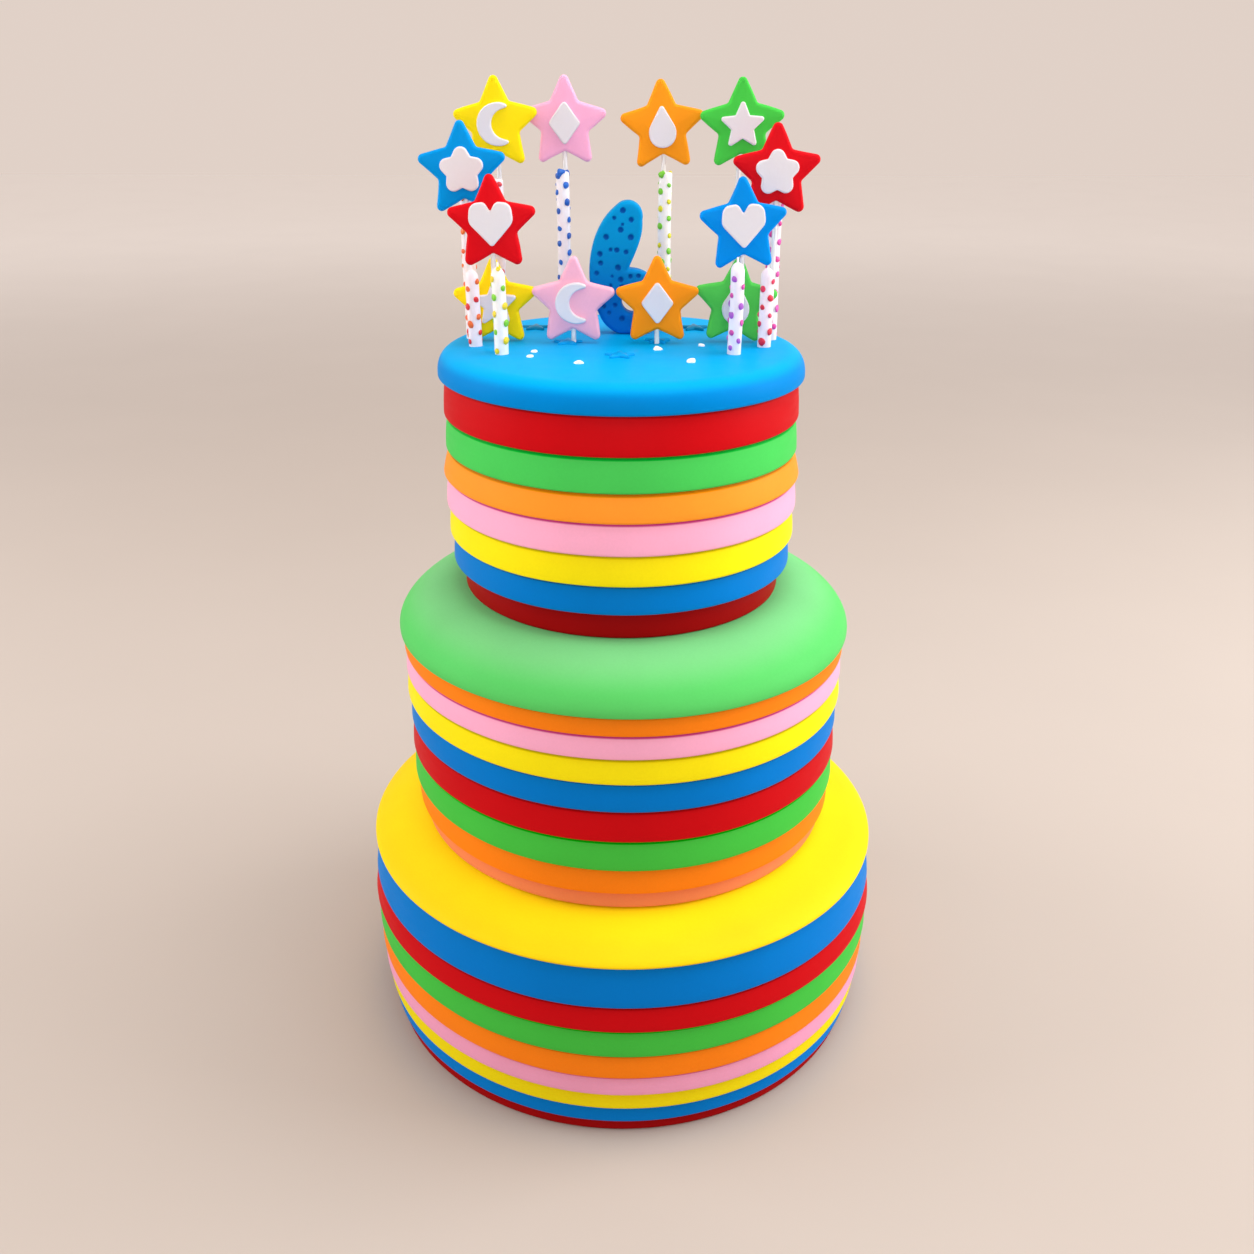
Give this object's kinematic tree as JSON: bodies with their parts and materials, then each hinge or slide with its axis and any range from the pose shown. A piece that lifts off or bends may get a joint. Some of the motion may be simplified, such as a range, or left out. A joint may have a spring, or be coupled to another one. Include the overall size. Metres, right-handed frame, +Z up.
{
  "type": "celebration cake",
  "caption": "Tall tiered celebration cake wrapped in bands of rainbow sugar paste, topped with star picks, spotted candles and a numeral.",
  "frame": {"origin": "middle of the base, where the cake meets what it stands on", "axes": "+Z up through the tiers, -Y towards the front that the stars and the numeral face, +X to the right seen from the front"},
  "size_m": [0.2666, 0.2666, 0.4617],
  "materials": {
    "paste_blue": "smooth sugar paste, satin",
    "paste_red": "smooth sugar paste, satin",
    "paste_green": "smooth sugar paste, satin",
    "paste_orange": "smooth sugar paste, satin",
    "paste_pink": "smooth sugar paste, satin",
    "paste_yellow": "smooth sugar paste, satin",
    "paste_salmon": "smooth sugar paste, satin",
    "paste_mint": "smooth sugar paste, satin",
    "paste_sky": "smooth sugar paste, satin",
    "candle_wax": "pale wax with coloured spots, soft shine",
    "clear_plastic": "clear to milky plastic stick, glossy"
  },
  "bodies": {
    "root": {"candle_1": "candle_wax", "candle_2": "candle_wax", "candle_3": "candle_wax", "candle_4": "candle_wax", "candle_5": "candle_wax", "candle_6": "candle_wax", "candle_7": "candle_wax", "candle_8": "candle_wax", "candle_9": "candle_wax", "lower_band_1_blue": "paste_blue", "lower_band_2_red": "paste_red", "lower_band_3_green": "paste_green", "lower_band_4_orange": "paste_orange", "lower_band_5_pink": "paste_pink", "lower_band_6_yellow": "paste_yellow", "lower_band_7_blue": "paste_blue", "lower_band_8_red": "paste_red", "lower_cap_yellow": "paste_yellow", "middle_band_1_orange": "paste_orange", "middle_band_2_pink": "paste_pink", "middle_band_3_yellow": "paste_yellow", "middle_band_4_blue": "paste_blue", "middle_band_5_red": "paste_red", "middle_band_6_green": "paste_green", "middle_band_7_orange": "paste_orange", "middle_band_8_salmon": "paste_salmon", "middle_cap_mint": "paste_mint", "numeral_six": "paste_blue", "star_low_1_yellow": "paste_yellow", "star_low_2_pink": "paste_pink", "star_low_3_orange": "paste_orange", "star_low_4_green": "paste_green", "star_top_1_red": "paste_red", "star_top_2_blue": "paste_blue", "star_top_3_yellow": "paste_yellow", "star_top_4_pink": "paste_pink", "star_top_5_orange": "paste_orange", "star_top_6_green": "paste_green", "star_top_7_red": "paste_red", "star_top_8_blue": "paste_blue", "stick_low_1": "clear_plastic", "stick_low_2": "clear_plastic", "stick_low_3": "clear_plastic", "stick_low_4": "clear_plastic", "stick_top_1": "clear_plastic", "stick_top_2": "clear_plastic", "stick_top_3": "clear_plastic", "stick_top_4": "clear_plastic", "stick_top_5": "clear_plastic", "stick_top_6": "clear_plastic", "stick_top_7": "clear_plastic", "stick_top_8": "clear_plastic", "upper_band_1_red": "paste_red", "upper_band_2_green": "paste_green", "upper_band_3_orange": "paste_orange", "upper_band_4_pink": "paste_pink", "upper_band_5_yellow": "paste_yellow", "upper_band_6_blue": "paste_blue", "upper_band_7_red": "paste_red", "upper_cap_sky": "paste_sky"}
  },
  "joints": []
}
